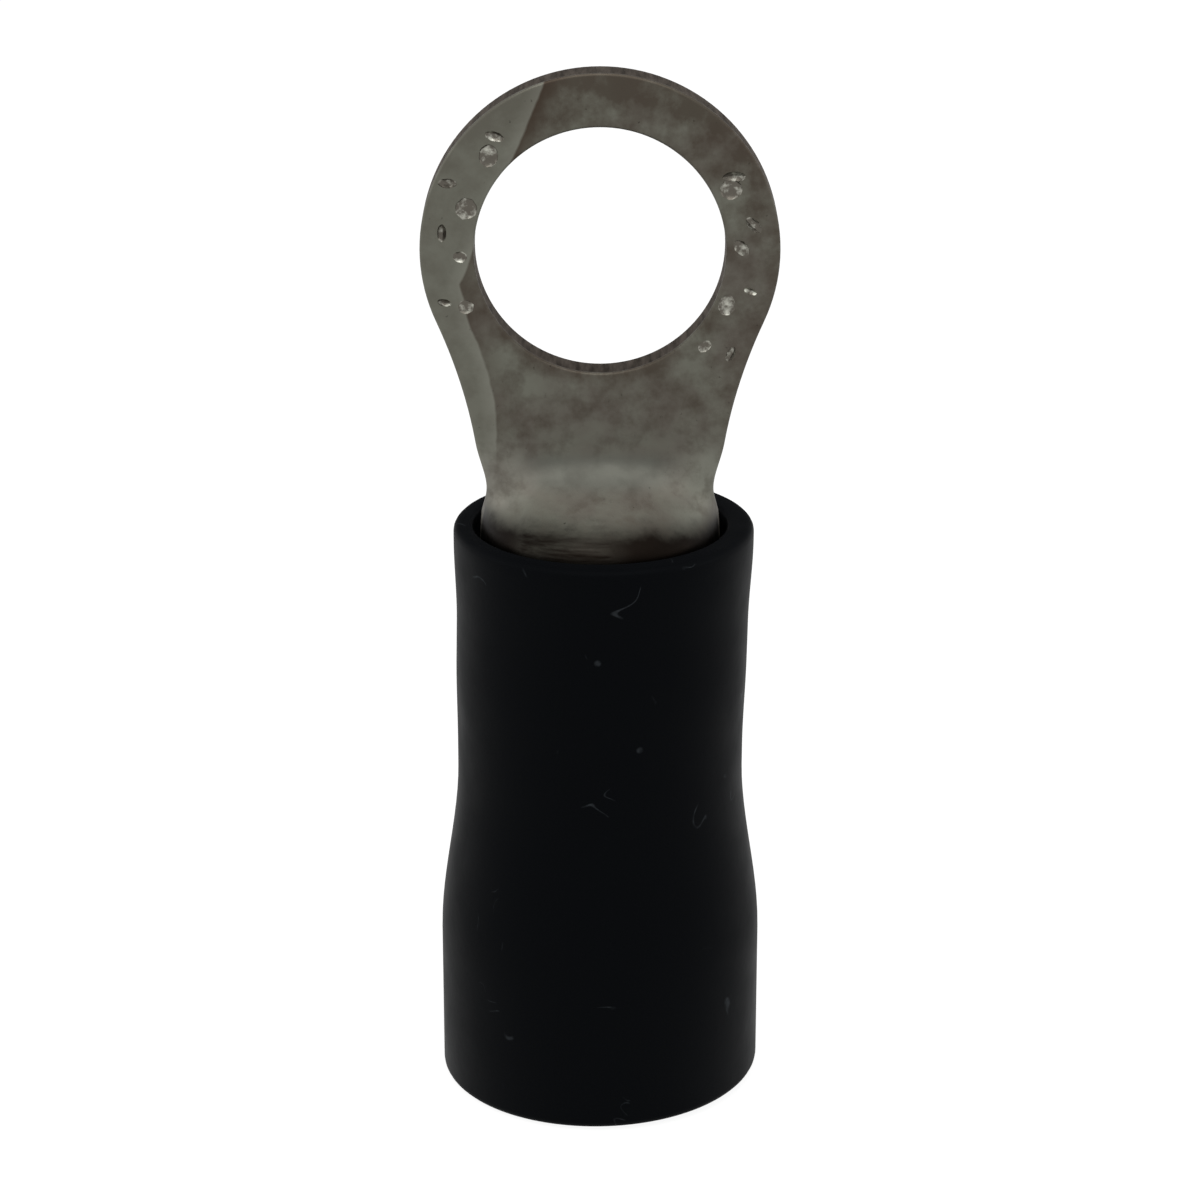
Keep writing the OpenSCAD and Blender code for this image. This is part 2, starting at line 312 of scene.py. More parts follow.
class TERMINAL_OT_ring_terminal(bpy.types.Operator):
    """Models the stamped and rolled terminal in tinned copper"""

    bl_idname = "terminal.ring_terminal"
    bl_label = "Ring Terminal"

    # Columns and rows of the sheet's mesh.
    FRONT_COLS = 48
    BACK_COLS = 32
    GROOVES = 3
    THROAT_ROWS = 1
    SCOOP_ROWS = 32
    TONGUE_ROWS = 12
    RING_FREE_COLS = 84
    RING_ROWS = 4
    WELD = 0.005

    # The dip in the line where tongue and ring join, and how square its sides are.
    JOIN_DIP = 0.4
    JOIN_POWER = 12

    # Rounds of evening out the normals, for the front and for what the back needs more.
    EVENING_PASSES = 20
    BACK_EVENING_PASSES = 60

    LEAD_STEPS = 3
    SHARP_ANGLE = 35

    # Punch marks and nicks on each side of the ring: rows, and their turns in degrees.
    PUNCH_ROWS = 4
    PUNCH_SPREAD = 33
    PUNCH_TILT = 9
    TURN_WANDER = 4
    NICK_TURN = (2, 10)

    # Their distances from the middle of the ring's band, in millimetres.
    MARK_IN = 0.14
    NICK_OUT = 0.16
    OUT_WANDER = 0.16

    # Size of the punch's tip, how far it leans in radians, and how flat it is.
    TIP_SIZE = (0.55, 1.1)
    TIP_LEAN = 0.5
    MARK_SQUASH = (0.6, 1)
    NICK_SQUASH = 0.5

    def execute(self, context):
        sizes = context.scene.terminal_sizes
        form = SheetForm(
            sizes,
            sleeve_len=SLEEVE_HIGH.z / MM,
            ring_r=TERMINAL_HIGH.x / MM,
            ring_z=MOUNTS["stud_hole"]["pos_m"][2] / MM,
            wire_end_z=TERMINAL_LOW.z / MM,
        )
        ring = self.ring_plate(form)
        shell = self.barrel_and_tongue(form, sizes)
        only(ring, shell)
        bpy.ops.object.join()
        bpy.ops.object.mode_set(mode="EDIT")
        bpy.ops.mesh.select_all(action="SELECT")
        bpy.ops.mesh.remove_doubles(threshold=self.WELD)
        bpy.ops.mesh.normals_make_consistent(inside=False)
        bpy.ops.object.mode_set(mode="OBJECT")
        shell.name = shell.data.name = "tinned_terminal"
        for material in (tin_tarnish_and_painted_light(sizes, form), sheared_edge(sizes), struck_tin(sizes)):
            shell.data.materials.append(material)
        self.thicken(shell, form, sizes)
        modify(shell, "BEVEL", width=sizes.wire_lead / MM, segments=self.LEAD_STEPS,
               limit_method="WEIGHT", material=0, use_clamp_overlap=False)
        self.punch(shell, form, sizes)
        bpy.ops.object.shade_smooth_by_angle(angle=math.radians(self.SHARP_ANGLE))
        modify(shell, "WEIGHTED_NORMAL", keep_sharp=True)
        finished(shell, "root", "terminal")
        return {"FINISHED"}

    def column_angles(self, form, sizes):
        """Angles of the barrel's columns: the front that becomes the tongue, then the back with
        two more beside the seam."""
        side = form.side_angle
        front = [mix(-side, side, j / self.FRONT_COLS) for j in range(self.FRONT_COLS + 1)]
        back = [mix(side, 360 - side, j / self.BACK_COLS) for j in range(1, self.BACK_COLS)]
        seam = math.degrees(sizes.seam_width / 2 / MM / form.barrel_r)
        back = sorted(back + [180 - seam, 180 + seam])
        return [a - 360 if a > 180 else a for a in front + back]

    def barrel_rows(self, form, sizes):
        """Heights of the barrel's rows, each with how deep the grip grooves are there."""
        pitch, width = sizes.groove_pitch / MM, sizes.groove_width / MM
        depth = sizes.groove_depth / MM
        middle = (form.wire_end_z + sizes.wire_lead / MM + form.round_z) / 2
        rows = []
        for k in range(self.GROOVES):
            z = middle + (k - (self.GROOVES - 1) / 2) * pitch
            rows += [(z - width / 2, 0), (z - width / 2 + depth, depth),
                     (z + width / 2 - depth, depth), (z + width / 2, 0)]
        return rows + [(form.round_z, 0)]

    def barrel_and_tongue(self, form, sizes):
        """Starts from the barrel's wire end and draws the sheet up row by row."""
        angles = self.column_angles(form, sizes)
        deselect()
        bpy.ops.mesh.primitive_circle_add(
            vertices=len(angles), radius=form.mid_r, location=(0, 0, 0))
        obj = started("barrel_sheet")
        mesh = edit(obj)
        mesh.verts.layers.int.new("column")
        mesh.verts.layers.float.new("seam")
        mesh.verts.layers.float.new("groove")
        seam = mesh.verts.layers.float["seam"]
        column = mesh.verts.layers.int["column"]
        by_angle = sorted(mesh.verts, key=lambda v: math.atan2(-v.co.x, -v.co.y))
        ordered = sorted(range(len(angles)), key=lambda c: angles[c])
        for vert, c in zip(by_angle, ordered):
            vert[column] = c
            vert[seam] = sizes.seam_depth / MM if angles[c] == 180 else 0
            a = math.radians(angles[c])
            vert.co = (-form.mid_r * math.sin(a), -form.mid_r * math.cos(a), form.wire_end_z)
        show(obj)
        bpy.ops.mesh.select_all(action="SELECT")
        for z, groove in self.barrel_rows(form, sizes):
            self.draw_row(obj, lambda c, z=z: (
                -form.mid_r * math.sin(math.radians(angles[c])),
                -form.mid_r * math.cos(math.radians(angles[c])), z), groove)
        for k in range(1, self.THROAT_ROWS + 1):
            z = mix(form.round_z, form.rim_z, k / self.THROAT_ROWS)
            self.draw_row(obj, lambda c, z=z: form.point(angles[c], z))
        mesh = edit(obj)
        column = mesh.verts.layers.int["column"]
        for vert in mesh.verts:
            if vert.select and vert[column] > self.FRONT_COLS:
                vert.select = False
        mesh.select_flush(False)
        show(obj)
        last = self.FRONT_COLS
        for k in range(1, self.SCOOP_ROWS + 1):
            z = mix(form.rim_z, form.flat_z, k / self.SCOOP_ROWS)
            self.draw_row(obj, lambda c, z=z: form.point(
                form.edge_angle(z) * (2 * c / last - 1), z))
        for k in range(1, self.TONGUE_ROWS + 1):
            t = k / self.TONGUE_ROWS
            self.draw_row(obj, lambda c, t=t: self.tongue_point(form, 2 * c / last - 1, t))
        bpy.ops.object.mode_set(mode="OBJECT")
        return obj

    def draw_row(self, obj, place, groove=0):
        """Extrudes the selected edge upwards and sets each new point by its column."""
        bpy.ops.mesh.extrude_region_move(TRANSFORM_OT_translate={"value": (0, 0, 0.1)})
        mesh = edit(obj)
        column = mesh.verts.layers.int["column"]
        depth = mesh.verts.layers.float.get("groove")
        for vert in mesh.verts:
            if vert.select:
                vert.co = place(vert[column])
                if depth:
                    vert[depth] = groove
        show(obj)

    def shoulder(self, form):
        """Angle from straight down at which the tongue's side meets the ring."""
        return math.atan2(form.edge_x(form.arc_end_z), form.ring_z - form.arc_end_z)

    def join_r(self, form, s):
        """Radius at which tongue and ring join: it dips in from the sides, to leave them square."""
        return form.ring_r - self.JOIN_DIP * (1 - abs(s) ** self.JOIN_POWER)

    def tongue_point(self, form, s, t):
        """Point on the flat tongue: s runs -1 to 1 across it and t runs 0 to 1 up to the ring."""
        shoulder = self.shoulder(form)
        join_x = self.join_r(form, s) * math.sin(shoulder * s)
        join_z = form.ring_z - self.join_r(form, s) * math.cos(shoulder * s)
        roll = math.radians(form.FLAT_ROLL)
        across = mix(math.sin(roll * s) / math.sin(roll),
                     join_x / (form.ring_r * math.sin(shoulder)), t)
        edge_z = mix(form.flat_z, form.arc_end_z, t)
        return (-form.edge_x(edge_z) * across, 0, mix(form.flat_z, join_z, t))

    def ring_plate(self, form):
        """The ring's middle surface, its lower arc matched to the tongue's columns."""
        shoulder = self.shoulder(form)
        turns = [shoulder * (2 * c / self.FRONT_COLS - 1) for c in range(self.FRONT_COLS + 1)]
        free = 2 * math.pi - 2 * shoulder
        turns += [shoulder + free * c / self.RING_FREE_COLS
                  for c in range(1, self.RING_FREE_COLS)]
        outer = [self.join_r(form, turn / shoulder) if c <= self.FRONT_COLS else form.ring_r
                 for c, turn in enumerate(turns)]
        deselect()
        bpy.ops.mesh.primitive_circle_add(vertices=len(turns), radius=form.stud_r,
                                          location=(0, 0, 0))
        obj = started("ring_sheet")
        mesh = edit(obj)
        column = mesh.verts.layers.int.new("column")
        for c, vert in enumerate(mesh.verts):
            vert[column] = c
            vert.co = (-form.stud_r * math.sin(turns[c]), 0,
                       form.ring_z - form.stud_r * math.cos(turns[c]))
        show(obj)
        bpy.ops.mesh.select_all(action="SELECT")
        for k in range(1, self.RING_ROWS + 1):
            def place(c, share=k / self.RING_ROWS):
                r = mix(form.stud_r, outer[c], share)
                return (-r * math.sin(turns[c]), 0, form.ring_z - r * math.cos(turns[c]))
            self.draw_row(obj, place)
        bpy.ops.object.mode_set(mode="OBJECT")
        return obj

    def evened(self, normals, near, passes):
        """Draws each normal towards the mean of its neighbours', pass after pass."""
        for _ in range(passes):
            normals = [(normals[i] + sum((normals[j] for j in near[i]), Vector()) / len(near[i]))
                       .normalized() for i in range(len(normals))]
        return normals

    def thicken(self, obj, form, sizes):
        """Gives the sheet its wall, cut into by the seam outside and the grip grooves inside. The
        normals are evened out first, and those of the back more, so that the faces inside the
        tight bends beside the notches don't fold over each other. The bevel's weights break the
        cut edges a little and the wire end's inner edge by the whole wire lead."""
        sheet = form.sheet
        light = sizes.edge_break / sizes.wire_lead
        bpy.ops.object.mode_set(mode="EDIT")
        mesh = edit(obj)
        weight = mesh.edges.layers.float.new("bevel_weight_edge")
        seam = mesh.verts.layers.float["seam"]
        groove = mesh.verts.layers.float["groove"]
        near = [[edge.other_vert(vert).index for edge in vert.link_edges] for vert in mesh.verts]
        normals = self.evened([vert.normal.copy() for vert in mesh.verts], near,
                              self.EVENING_PASSES)
        back_normals = self.evened(normals, near, self.BACK_EVENING_PASSES)
        edges = [edge for edge in mesh.edges if edge.is_boundary]
        faces = list(mesh.faces)
        front = list(mesh.verts)
        back = [mesh.verts.new(vert.co - back_normals[i] * (sheet / 2 - vert[groove]))
                for i, vert in enumerate(front)]
        for vert, normal in zip(front, normals):
            vert.co += normal * (sheet / 2 - vert[seam])
        for face in faces:
            mesh.faces.new([back[vert.index] for vert in reversed(face.verts)])
        for edge in edges:
            loop = edge.link_loops[0]
            a, b = loop.vert.index, loop.link_loop_next.vert.index
            cut = mesh.faces.new([front[b], front[a], back[a], back[b]])
            cut.material_index = 1
            at_wire_end = abs(front[a].co.z - form.wire_end_z) < 0.001
            cut.edges[0][weight] = light
            cut.edges[2][weight] = 1 if at_wire_end else light
        mesh.normal_update()
        show(obj)
        bpy.ops.object.mode_set(mode="OBJECT")

    def punch(self, obj, form, sizes):
        """Strikes staggered punch marks and short nicks into both sides of the ring's front."""
        chance = random.Random(11)
        half, depth = sizes.punch / 2 / MM, sizes.punch_depth / MM
        tip_r = (half ** 2 + depth ** 2) / (2 * depth)
        middle = (form.stud_r + form.ring_r) / 2
        tips = []
        for side in (-1, 1):
            for k in range(self.PUNCH_ROWS):
                turn = mix(self.PUNCH_SPREAD, -self.PUNCH_SPREAD, k / (self.PUNCH_ROWS - 1))
                turn = math.radians(turn - side * self.PUNCH_TILT
                                    + chance.uniform(-self.TURN_WANDER, self.TURN_WANDER))
                for nick, r in ((False, middle - self.MARK_IN), (True, middle + self.NICK_OUT)):
                    r += chance.uniform(-self.OUT_WANDER, self.OUT_WANDER)
                    turn += math.radians(chance.uniform(*self.NICK_TURN)) if nick else 0
                    size = chance.uniform(*self.TIP_SIZE)
                    deselect()
                    bpy.ops.mesh.primitive_ico_sphere_add(
                        subdivisions=2, radius=tip_r * size,
                        location=(side * r * math.cos(turn),
                                  -form.sheet / 2 - (tip_r - depth) * size,
                                  form.ring_z + r * math.sin(turn)),
                        rotation=(chance.uniform(-self.TIP_LEAN, self.TIP_LEAN),
                                  chance.uniform(0, math.pi), 0))
                    tip = bpy.context.object
                    squash = self.NICK_SQUASH if nick else chance.uniform(*self.MARK_SQUASH)
                    tip.scale = (1, 1, squash)
                    tips.append(tip)
        only(*tips)
        bpy.ops.object.transform_apply(location=True, rotation=True, scale=True)
        cutter = tips.pop(0)
        only(cutter)
        for tip in tips:
            modify(cutter, "BOOLEAN", object=tip, operation="UNION", solver="EXACT")
            bpy.data.meshes.remove(tip.data)
        for material in obj.data.materials:
            cutter.data.materials.append(material)
        for face in cutter.data.polygons:
            face.material_index = len(obj.data.materials) - 1
        only(obj)
        modify(obj, "BOOLEAN", object=cutter, operation="DIFFERENCE", solver="EXACT")
        bpy.data.meshes.remove(cutter.data)


# --- Sleeve ------------------------------------------------------------------------------


class TERMINAL_OT_vinyl_sleeve(bpy.types.Operator):
    """Models the moulded vinyl sleeve"""

    bl_idname = "terminal.vinyl_sleeve"
    bl_label = "Vinyl Sleeve"

    SIDES = 128
    CORNER_STEPS = 5
    WALL_STEPS = 12
    SHARP_ANGLE = 40

    def execute(self, context):
        sizes = context.scene.sleeve_sizes
        barrel_r = (context.scene.terminal_sizes.wire_bore / 2
                    + context.scene.terminal_sizes.sheet) / MM
        profile = self.profile(sizes, barrel_r)
        r, z = profile[0]
        deselect()
        bpy.ops.mesh.primitive_circle_add(vertices=self.SIDES, radius=r, location=(0, 0, z))
        obj = started("vinyl_sleeve")
        bpy.ops.mesh.select_all(action="SELECT")
        for r_next, z_next in profile[1:]:
            bpy.ops.mesh.extrude_region_move(
                TRANSFORM_OT_translate={"value": (0, 0, z_next - z)})
            bpy.ops.transform.resize(value=(r_next / r, r_next / r, 1),
                                     center_override=(0, 0, z_next))
            r, z = r_next, z_next
        bpy.ops.mesh.select_mode(type="EDGE")
        mesh = edit(obj)
        for edge in mesh.edges:
            edge.select_set(edge.is_boundary)
        show(obj)
        bpy.ops.mesh.bridge_edge_loops()
        bpy.ops.mesh.select_all(action="SELECT")
        bpy.ops.mesh.normals_make_consistent(inside=False)
        self.work_in(obj, sizes, barrel_r)
        bpy.ops.object.mode_set(mode="OBJECT")
        bpy.ops.object.shade_smooth_by_angle(angle=math.radians(self.SHARP_ANGLE))
        obj.data.materials.append(black_vinyl(sizes))
        finished(obj, "root", "insulating_sleeve")
        return {"FINISHED"}

    def work_in(self, obj, sizes, barrel_r):
        """Leans the outside a little above the waist and cuts the cable end slightly askew."""
        top, end_r = SLEEVE_HIGH.z / MM, SLEEVE_HIGH.x / MM
        waist_z = (TERMINAL_LOW.z + sizes.waist_rise) / MM
        wall_middle = barrel_r + (sizes.barrel_fit + sizes.mouth_gap + sizes.wall / 2) / MM
        bore_top = sizes.cable_bore_length / MM
        mesh = edit(obj)
        for vert in mesh.verts:
            x, y, z = vert.co
            if math.hypot(x, y) > wall_middle:
                vert.co.x += sizes.lean / MM * eased((z - waist_z) / (top - waist_z))
            side = (x / end_r + 1) / 2
            vert.co.z += sizes.skew / MM * side * (1 - eased(z / bore_top))
        show(obj)

    def corner(self, x, y, r, start, end):
        """Points of a rounded corner, between two angles in degrees."""
        angles = [math.radians(mix(start, end, k / self.CORNER_STEPS))
                  for k in range(self.CORNER_STEPS + 1)]
        return [(x + r * math.cos(a), y + r * math.sin(a)) for a in angles]

    def wall(self, r0, z0, r1, z1):
        """Points of a wall that swells or narrows with level ends."""
        return [(mix(r0, r1, eased(k / self.WALL_STEPS)), mix(z0, z1, k / self.WALL_STEPS))
                for k in range(self.WALL_STEPS + 1)]

    def profile(self, sizes, barrel_r):
        """Outline of the wall, up the outside and down the inside, in millimetres."""
        top = SLEEVE_HIGH.z / MM
        cable_end_r = SLEEVE_HIGH.x / MM
        edge = sizes.edge / MM
        mouth = sizes.mouth_height / MM
        seat_r = barrel_r + sizes.barrel_fit / MM
        body_r = seat_r + sizes.wall / MM
        waist_r = body_r - sizes.waist_draw / MM
        lip_r = body_r + sizes.lip_swell / MM
        mouth_r = seat_r + sizes.mouth_gap / MM
        cable_r = sizes.cable_bore / 2 / MM
        bore_top = sizes.cable_bore_length / MM
        barrel_end = TERMINAL_LOW.z / MM
        waist_z = barrel_end + sizes.waist_rise / MM
        swell_z = waist_z + sizes.waist_land / MM
        points = self.corner(cable_end_r - edge, edge, edge, -90, 0)
        points += self.wall(cable_end_r, bore_top, waist_r, waist_z)
        points += self.wall(waist_r, swell_z, body_r, swell_z + sizes.waist_swell / MM)
        points += self.wall(body_r, top - 2 * mouth, lip_r, top - 2 * edge)
        points += self.corner(lip_r - edge, top - edge, edge, 0, 90)
        points += self.corner(mouth_r + edge / 2, top - edge / 2, edge / 2, 90, 180)
        points += self.wall(mouth_r, top - edge, seat_r, top - mouth)
        points += self.wall(seat_r, barrel_end - sizes.seat_lead / MM, cable_r, bore_top)
        points += self.corner(cable_r + edge, edge, edge, 180, 270)
        return points


# --- Materials ---------------------------------------------------------------------------

COLOURS = {"data_type": "RGBA"}
SMOOTH = {"interpolation_type": "SMOOTHSTEP"}


def add(tree, kind, *values, inputs=None, **settings):
    """Adds a node, sets it up and fills its sockets, in their order or by name. A node or a
    socket given as a value is linked. Values left over go to further nodes of the same kind, so
    that any number of values can be added or multiplied."""
    node = tree.nodes.new("ShaderNode" + kind)
    for name, value in settings.items():
        setattr(node, name, value)
    sockets = [socket for socket in node.inputs if socket.enabled]
    filled = list(zip(sockets, values))
    filled += [(node.inputs[name], value) for name, value in (inputs or {}).items()]
    for socket, value in filled:
        if isinstance(value, bpy.types.Node):
            value = next(output for output in value.outputs if output.enabled)
        if isinstance(value, bpy.types.NodeSocket):
            tree.links.new(value, socket)
        elif isinstance(value, Color):
            socket.default_value = (*value, 1)
        else:
            socket.default_value = value
    left_over = values[len(sockets):]
    return add(tree, kind, node, *left_over, **settings) if left_over else node


def new_material(name):
    """An empty material and its node tree."""
    material = bpy.data.materials.new(name)
    material.use_nodes = True
    material.node_tree.nodes.clear()
    return material, material.node_tree


def per_size(size):
    """Noise scale that gives blotches about this many millimetres across."""
    return 1 / (size * MM)


def tin_tarnish_and_painted_light(sizes, form):
    """Tin plate on stamped copper, gone dull: blotchy grey with brown tarnish towards the ring's
    top, a smoother rubbed strip down one side, and dark pits. Painted light and shade are laid on
    it too: a highlight along the strip's edge and a shadow beside it, shade on the bend's middle
    and highlights either side of it, and shade low on the bend by the sleeve's mouth."""
    material, tree = new_material("tin_plate_tarnish_and_painted_light")
    place = add(tree, "TexCoord").outputs["Object"]
    axes = add(tree, "SeparateXYZ", place).outputs
    front = add(tree, "MapRange", axes["Y"], (0.15 - form.sheet / 2) * MM,
                (0.05 - form.sheet / 2) * MM)
    flat_z, rim_z = form.flat_z, form.rim_z
    stud_z, ring_low, ring_top = form.ring_z, form.ring_z - form.stud_r, form.ring_z + form.ring_r

    # Rubbed patches are 1.4 mm across and blotches of tarnish 0.5 mm. Real pits are finer than
    # 0.16 mm, and are drawn as coarse as they need to be to show.
    patches = add(tree, "TexNoise", place, per_size(1.4), 3, 0.55)
    mottle = add(tree, "TexNoise", place, per_size(0.5), 6, 0.62)
    fleck = add(tree, "TexNoise", place, per_size(0.16), 4, 0.6)
    worn = add(tree, "MapRange", patches, 0.38, 0.62)
    pits = add(tree, "MapRange", fleck, 0.68, 0.76, 0, 0.6)

    # The rubbed strip lies left of a line that runs down the ring and the tongue's side, with a
    # knee in it. A painted highlight runs along that line on the strip, and a painted shadow lies
    # on the plate beside it, deepening towards the ring's top.
    (low_x, low_z), (knee_x, knee_z), (top_x, top_z) = (-2.2, 15.8), (-2.95, 18.4), (-1.05, 22.9)
    line = add(tree, "Math",
               add(tree, "MapRange", axes["Z"], knee_z * MM, low_z * MM, knee_x * MM, low_x * MM),
               add(tree, "MapRange", axes["Z"], knee_z * MM, top_z * MM, 0, (top_x - knee_x) * MM),
               add(tree, "MapRange", patches, 0.3, 0.7, -0.05 * MM, 0.05 * MM), operation="ADD")
    left_of_line = add(tree, "Math", line, axes["X"], operation="SUBTRACT")
    inside = add(tree, "MapRange", left_of_line, 0, 0.05 * MM)
    outside = add(tree, "Math", 1, inside, operation="SUBTRACT")
    rubbed = add(tree, "Math", inside, front,
                 add(tree, "MapRange", axes["Z"], (flat_z - 0.5) * MM, flat_z * MM),
                 operation="MULTIPLY")
    smooth = add(tree, "Math", rubbed, 0.85, operation="MULTIPLY")
    lit = add(tree, "Math",
              add(tree, "MapRange", left_of_line, 0.35 * MM, 0.05 * MM, 0, 0.1), rubbed,
              operation="MULTIPLY")
    dark = add(tree, "Math",
               add(tree, "MapRange", left_of_line, -0.45 * MM, 0), outside, front,
               add(tree, "MapRange", axes["Z"], flat_z * MM, ring_top * MM, 0.2, 0.95),
               operation="MULTIPLY")

    # Brown tarnish in blotches, most round the ring's rim, some round the hole's lower edge, and
    # least on the bend and on the rubbed strip.
    from_stud = add(tree, "VectorMath", place, (0, 0, stud_z * MM), operation="DISTANCE")
    high = add(tree, "MapRange", axes["Z"], stud_z * MM, ring_top * MM, 0.3, 1)
    round_rim = add(tree, "Math",
                    add(tree, "MapRange", from_stud, (form.ring_r - 0.9) * MM, form.ring_r * MM,
                        0, 0.18),
                    high, operation="MULTIPLY")
    under_hole = add(tree, "Math",
                     add(tree, "MapRange", from_stud, (form.stud_r + 0.5) * MM, form.stud_r * MM,
                         0, 0.3),
                     add(tree, "MapRange", axes["Z"], stud_z * MM, ring_low * MM),
                     operation="MULTIPLY")
    blotch = add(tree, "Math", mottle, round_rim, under_hole,
                 add(tree, "MapRange", high, 0.3, 1, 0, 0.2),
                 add(tree, "MapRange", axes["X"], 1.5 * MM, form.ring_r * MM, 0, 0.05),
                 add(tree, "MapRange", axes["Z"], (flat_z + 0.3) * MM, (flat_z - 0.2) * MM,
                     0, -0.1),
                 operation="ADD")
    brown = add(tree, "Math", add(tree, "MapRange", blotch, 0.45, 0.82, 0, 0.75),
                add(tree, "MapRange", rubbed, 0, 1, 1, 0.4), operation="MULTIPLY")

    # Painted shade on the bend's middle, and painted highlights either side of it.
    off_middle = add(tree, "Math", axes["X"], operation="ABSOLUTE")
    middle = add(tree, "Math",
                 add(tree, "MapRange", off_middle, 2.1 * MM, 1.0 * MM, 0, 0.75, **SMOOTH),
                 add(tree, "MapRange", axes["Z"], (flat_z - 0.15) * MM, (flat_z - 0.5) * MM,
                     **SMOOTH),
                 add(tree, "MapRange", axes["Z"], (flat_z - 1.1) * MM, (flat_z - 0.8) * MM,
                     **SMOOTH),
                 front, operation="MULTIPLY")
    shoulder_highlights = add(tree, "Math",
                    add(tree, "MapRange", off_middle, 1.1 * MM, 2.3 * MM, 0, 0.13, **SMOOTH),
                    add(tree, "MapRange", axes["X"], -1.2 * MM, -2.2 * MM, 0, 0.09, **SMOOTH),
                    operation="ADD")
    shoulder_highlights = add(tree, "Math", shoulder_highlights,
                    add(tree, "MapRange", axes["Z"], (flat_z + 0.1) * MM, (flat_z - 0.5) * MM),
                    add(tree, "MapRange", mottle, 0.6, 0.4, 0.5, 1), front, operation="MULTIPLY")

    # Painted shade on the low part of the bend, where it dips into the sleeve's mouth and faces the
    # black lip, with a ragged upper edge and level streaks 0.12 mm high. It is blacker on one side
    # and reaches higher on the other.
    height = add(tree, "Math", axes["Z"],
                 add(tree, "MapRange", mottle, 0.3, 0.7, -0.08 * MM, 0.08 * MM),
                 add(tree, "MapRange", off_middle, 0.9 * MM, 2.1 * MM, -0.03 * MM, 0.1 * MM,
                     **SMOOTH),
                 add(tree, "MapRange", axes["X"], -2.2 * MM, 2.2 * MM, -0.06 * MM, 0.05 * MM),
                 operation="ADD")
    low = add(tree, "MapRange", height, (rim_z + 0.84) * MM, (rim_z + 0.36) * MM, **SMOOTH)
    level = add(tree, "VectorMath", place, (0.08, 0.3, 1), operation="MULTIPLY")
    streaks = add(tree, "TexNoise", level, per_size(0.12), 3, 0.6)
    black = add(tree, "Math", add(tree, "MapRange", streaks, 0.35, 0.7, 1, 0.82),
                add(tree, "MapRange", axes["X"], -2 * MM, -1.2 * MM, 1, 0.8, **SMOOTH),
                add(tree, "MapRange", axes["X"], -0.6 * MM, 0.8 * MM, 0.8, 1, **SMOOTH),
                operation="MAXIMUM")
    # The mask of painted shade low on the bend.
    scale = add(tree, "Math", low, black, front, operation="MULTIPLY")

    tone = sizes.tin
    for share, layer in (
        (worn, sizes.tin_bright),
        (smooth, sizes.tin_bright),
        (brown, sizes.stain_and_shadow),
        # painted shadow beside the strip's edge
        (dark, sizes.stain_and_shadow),
        # painted highlight along the strip's edge
        (lit, sizes.struck_and_highlight),
        (pits, sizes.brown_black_and_shade),
        # painted shade on the bend's middle
        (middle, sizes.bend_shade),
        # painted highlights either side of the bend's middle
        (shoulder_highlights, sizes.struck_and_highlight),
        # painted shade low on the bend by the sleeve's mouth
        (scale, sizes.brown_black_and_shade),
    ):
        tone = add(tree, "Mix", share, tone, layer, **COLOURS)
    rough = add(tree, "Math", add(tree, "MapRange", mottle, 0.3, 0.7, 0.44, 0.56),
                add(tree, "MapRange", rubbed, 0, 1, 0, -0.06), operation="ADD")
    bump = add(tree, "Bump", inputs={"Height": fleck, "Strength": 0.2, "Distance": 0.02 * MM})
    shader = add(tree, "BsdfPrincipled", inputs={
        "Base Color": tone, "Metallic": 1, "Roughness": rough, "Normal": bump})
    add(tree, "OutputMaterial", shader)
    return material


def struck_tin(sizes):
    """Tin plate squeezed bright and smooth by the punch, dull again in places."""
    material, tree = new_material("struck_tin_plate")
    place = add(tree, "TexCoord").outputs["Object"]
    worn = add(tree, "TexNoise", place, per_size(0.2), 4, 0.6)
    tone = add(tree, "Mix", add(tree, "MapRange", worn, 0.48, 0.68), sizes.tin, sizes.struck_and_highlight,
               **COLOURS)
    shader = add(tree, "BsdfPrincipled", inputs={
        "Base Color": tone, "Metallic": 1, "Roughness": 0.3})
    add(tree, "OutputMaterial", shader)
    return material


def sheared_edge(sizes):
    """The cut face left by the blanking die: brown, rougher than the plated faces, with streaks
    0.14 mm wide across the sheet's thickness."""
    material, tree = new_material("sheared_copper_edge")
    place = add(tree, "TexCoord").outputs["Object"]
    across = add(tree, "VectorMath", place, (1, 0.15, 1), operation="MULTIPLY")
    streaks = add(tree, "TexNoise", across, per_size(0.14), 4, 0.6)
    tone = add(tree, "Mix", add(tree, "MapRange", streaks, 0.35, 0.65), sizes.brown_black_and_shade,
               sizes.sheared, **COLOURS)
    bump = add(tree, "Bump", inputs={"Height": streaks, "Strength": 0.3, "Distance": 0.02 * MM})
    shader = add(tree, "BsdfPrincipled", inputs={
        "Base Color": tone, "Metallic": 1, "Roughness": 0.6,
        "Specular Tint": (0.76, 0.72, 0.68, 1), "Normal": bump})
    add(tree, "OutputMaterial", shader)
    return material


